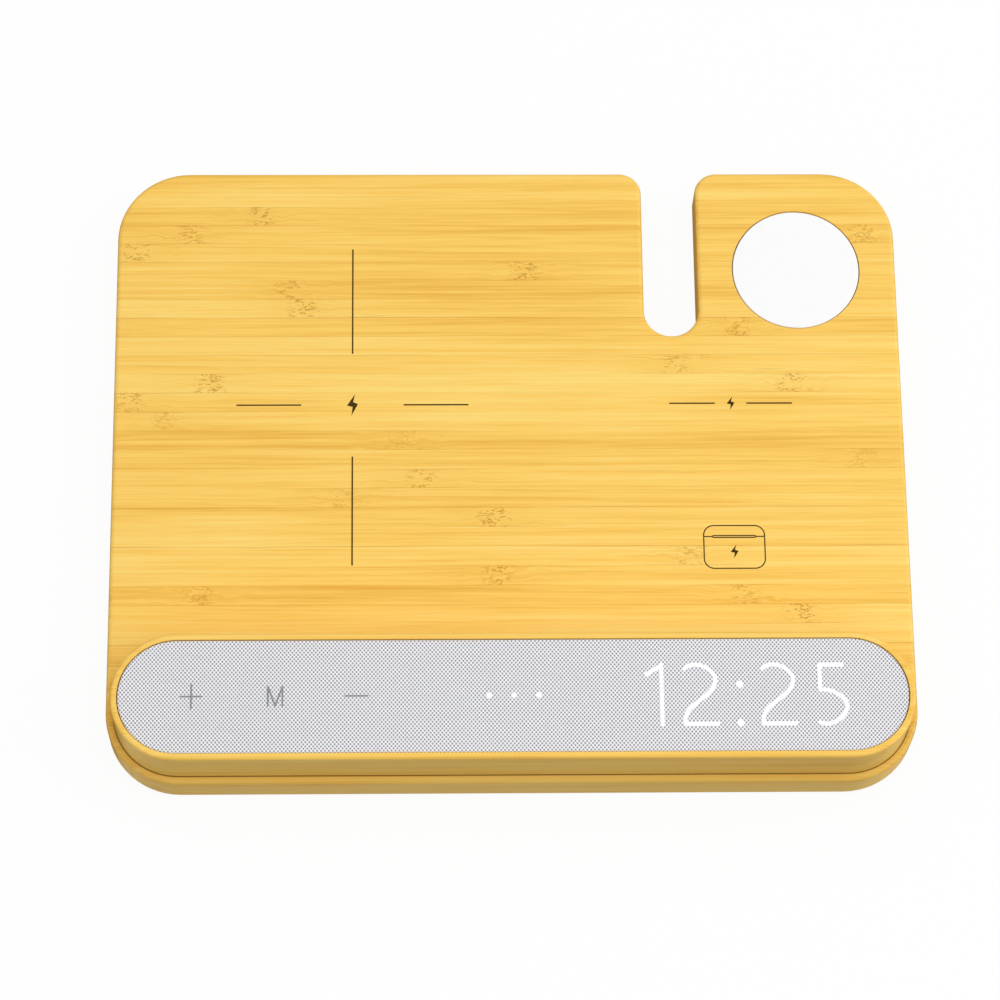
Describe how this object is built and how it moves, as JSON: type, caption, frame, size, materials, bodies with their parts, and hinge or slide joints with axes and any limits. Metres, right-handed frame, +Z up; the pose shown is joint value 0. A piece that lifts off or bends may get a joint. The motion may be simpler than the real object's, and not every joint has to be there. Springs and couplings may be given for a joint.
{
  "type": "charging station organizer",
  "caption": "Bamboo desk charging deck with places for a phone, earbuds and a watch, and a cloth-topped front bar that holds a clock, speakers and keys.",
  "frame": {"origin": "under the middle of the deck, on the surface that the feet stand on", "axes": "+X along the bar to the right as seen from the front, +Y from the front bar to the rear edge with the slot, +Z up"},
  "size_m": [0.25, 0.205, 0.0319],
  "materials": {
    "bamboo": "lacquered bamboo, grain along X, satin",
    "dark_ink": "dark brown paint in shallow engraving",
    "grey_ink": "grey print",
    "black_plastic": "moulded, fine texture",
    "white_plastic": "smooth white, soft gloss",
    "rubber": "matte",
    "steel": "zinc plated",
    "magnet_steel": "nickel plated",
    "copper": "enamelled copper wire",
    "ferrite": "matte sintered ferrite",
    "circuit_board": "solder mask",
    "chip_black": "moulded epoxy",
    "connector_white": "moulded nylon",
    "lead_red": "wire insulation",
    "ribbon_white": "laminated ribbon cable",
    "cloth": "white basket weave with a grey ground",
    "lit_white": "glowing white",
    "lamp_white": "clear white",
    "diffuser_white": "milky film",
    "key_plastic": "moulded, satin",
    "cone_paper": "pressed paper"
  },
  "bodies": {
    "root": {"baffle": "black_plastic", "bar_board": "circuit_board", "bar_board_screws": "steel", "bar_screws": "steel", "bar_shell": "bamboo", "board_components": "chip_black", "board_screws": "steel", "bottom_cover": "black_plastic", "clock_digits": "lit_white", "coil_leads": "lead_red", "cover_screws": "steel", "deck": "bamboo", "deck_markings": "dark_ink", "display_diffuser": "diffuser_white", "display_lamps": "lamp_white", "display_light_box": "black_plastic", "earbud_coil": "copper", "earbud_ferrite": "ferrite", "grille_cloth": "cloth", "grille_frame": "black_plastic", "inlet_bezel": "black_plastic", "inlet_shell": "steel", "inlet_tongue": "black_plastic", "key_legends": "grey_ink", "key_switches": "chip_black", "lead_connectors": "connector_white", "link_ribbon": "ribbon_white", "main_board": "circuit_board", "phone_coil": "copper", "phone_ferrite": "ferrite", "ribbon_connector": "connector_white", "rubber_feet": "rubber", "speaker_baskets": "black_plastic", "speaker_contacts": "copper", "speaker_magnets": "magnet_steel", "speaker_screws": "steel", "speaker_surrounds": "rubber", "status_dots": "lit_white", "status_lamps": "lamp_white", "status_light_pipes": "lamp_white", "watch_coil": "copper", "watch_ferrite": "ferrite", "watch_puck": "white_plastic"},
    "plus_key": {"plus_key": "key_plastic"},
    "mode_key": {"mode_key": "key_plastic"},
    "minus_key": {"minus_key": "key_plastic"},
    "left_cone": {"left_cone": "cone_paper"},
    "right_cone": {"right_cone": "cone_paper"}
  },
  "joints": [
    {"name": "plus_press", "type": "slide", "parent": "root", "child": "plus_key", "axis": [0, 0, -1], "range_m": [0, 0.0005], "stiffness_N_per_m": 3000},
    {"name": "mode_press", "type": "slide", "parent": "root", "child": "mode_key", "axis": [0, 0, -1], "range_m": [0, 0.0005], "stiffness_N_per_m": 3000},
    {"name": "minus_press", "type": "slide", "parent": "root", "child": "minus_key", "axis": [0, 0, -1], "range_m": [0, 0.0005], "stiffness_N_per_m": 3000},
    {"name": "left_cone_stroke", "type": "slide", "parent": "root", "child": "left_cone", "axis": [0, 0, 1], "range_m": [-0.001, 0.001], "stiffness_N_per_m": 1000},
    {"name": "right_cone_stroke", "type": "slide", "parent": "root", "child": "right_cone", "axis": [0, 0, 1], "range_m": [-0.001, 0.001], "stiffness_N_per_m": 1000}
  ]
}
